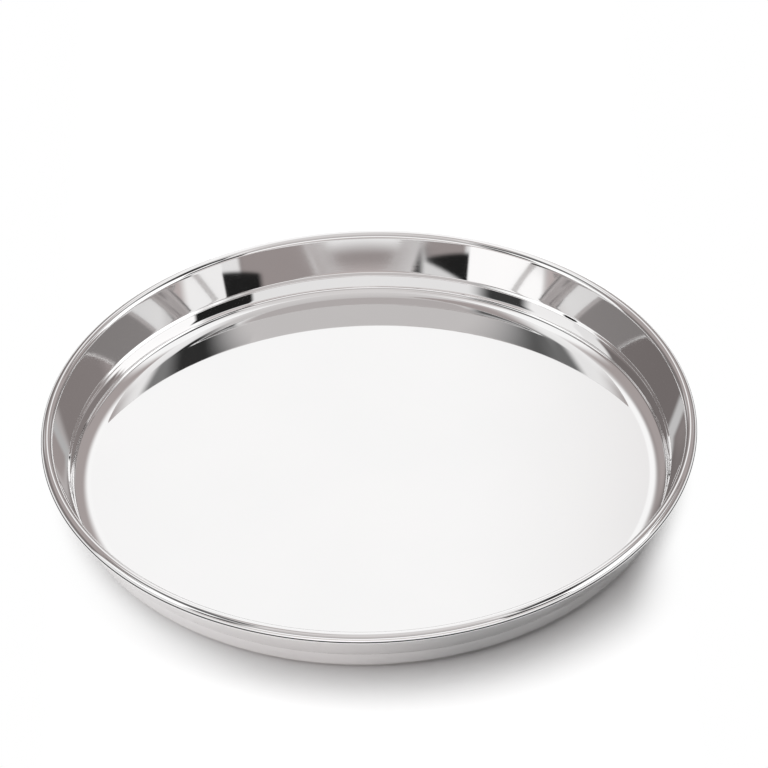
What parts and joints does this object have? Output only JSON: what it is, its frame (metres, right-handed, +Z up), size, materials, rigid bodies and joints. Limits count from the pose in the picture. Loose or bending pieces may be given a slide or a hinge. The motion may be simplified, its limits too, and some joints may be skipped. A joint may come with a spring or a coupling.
{
  "type": "thali plate",
  "caption": "Round stainless steel thali plate with a flat floor, a low stepped wall and a rolled, wired rim.",
  "frame": {"origin": "centre of the flat underside that the plate rests on", "axes": "+Z up along the plate's axis, out of the open dish; +X and +Y lie in the resting plane"},
  "size_m": [0.3, 0.3, 0.029],
  "materials": {
    "polished_sheet": "mirror polished stainless steel",
    "rim_wire": "drawn steel wire"
  },
  "bodies": {
    "root": {"pressed_plate": "polished_sheet", "rim_wire": "rim_wire"}
  },
  "joints": []
}
